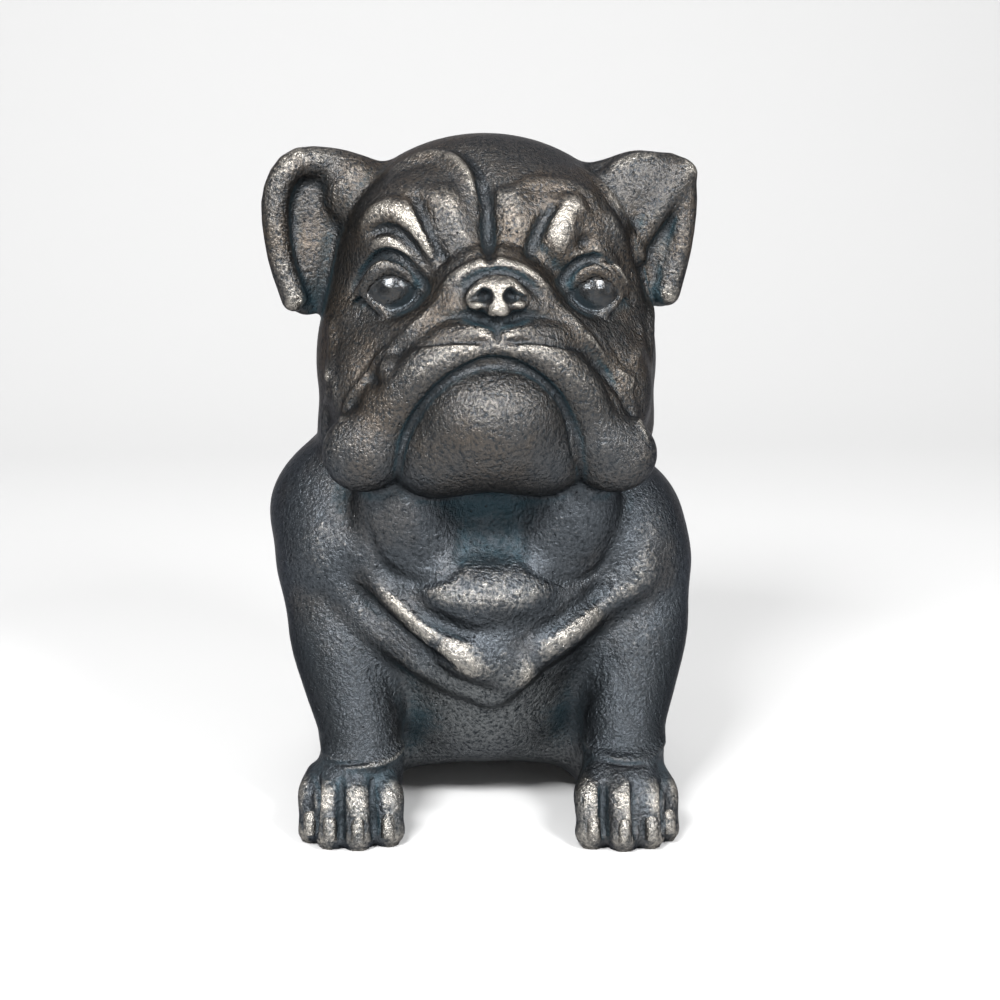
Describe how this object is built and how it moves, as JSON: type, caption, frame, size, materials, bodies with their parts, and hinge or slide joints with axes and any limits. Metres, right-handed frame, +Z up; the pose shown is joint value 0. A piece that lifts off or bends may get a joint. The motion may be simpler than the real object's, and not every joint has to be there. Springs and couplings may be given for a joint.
{
  "type": "dog garden statue",
  "caption": "Seated bulldog garden statue cast in one piece, head raised, ears out to the sides, with deep facial folds and a dark bronze finish",
  "frame": {"origin": "centre of the bounding box's footprint, on the ground", "axes": "+Z up, -Y the way the dog faces, +X towards the dog's left side"},
  "size_m": [0.2314, 0.2578, 0.3607],
  "materials": {
    "bronze_finish": "satin dark bronze effect, gold-brown where the ridges are rubbed and blue-green in the hollows"
  },
  "bodies": {
    "root": {"bulldog": "bronze_finish"}
  },
  "joints": []
}
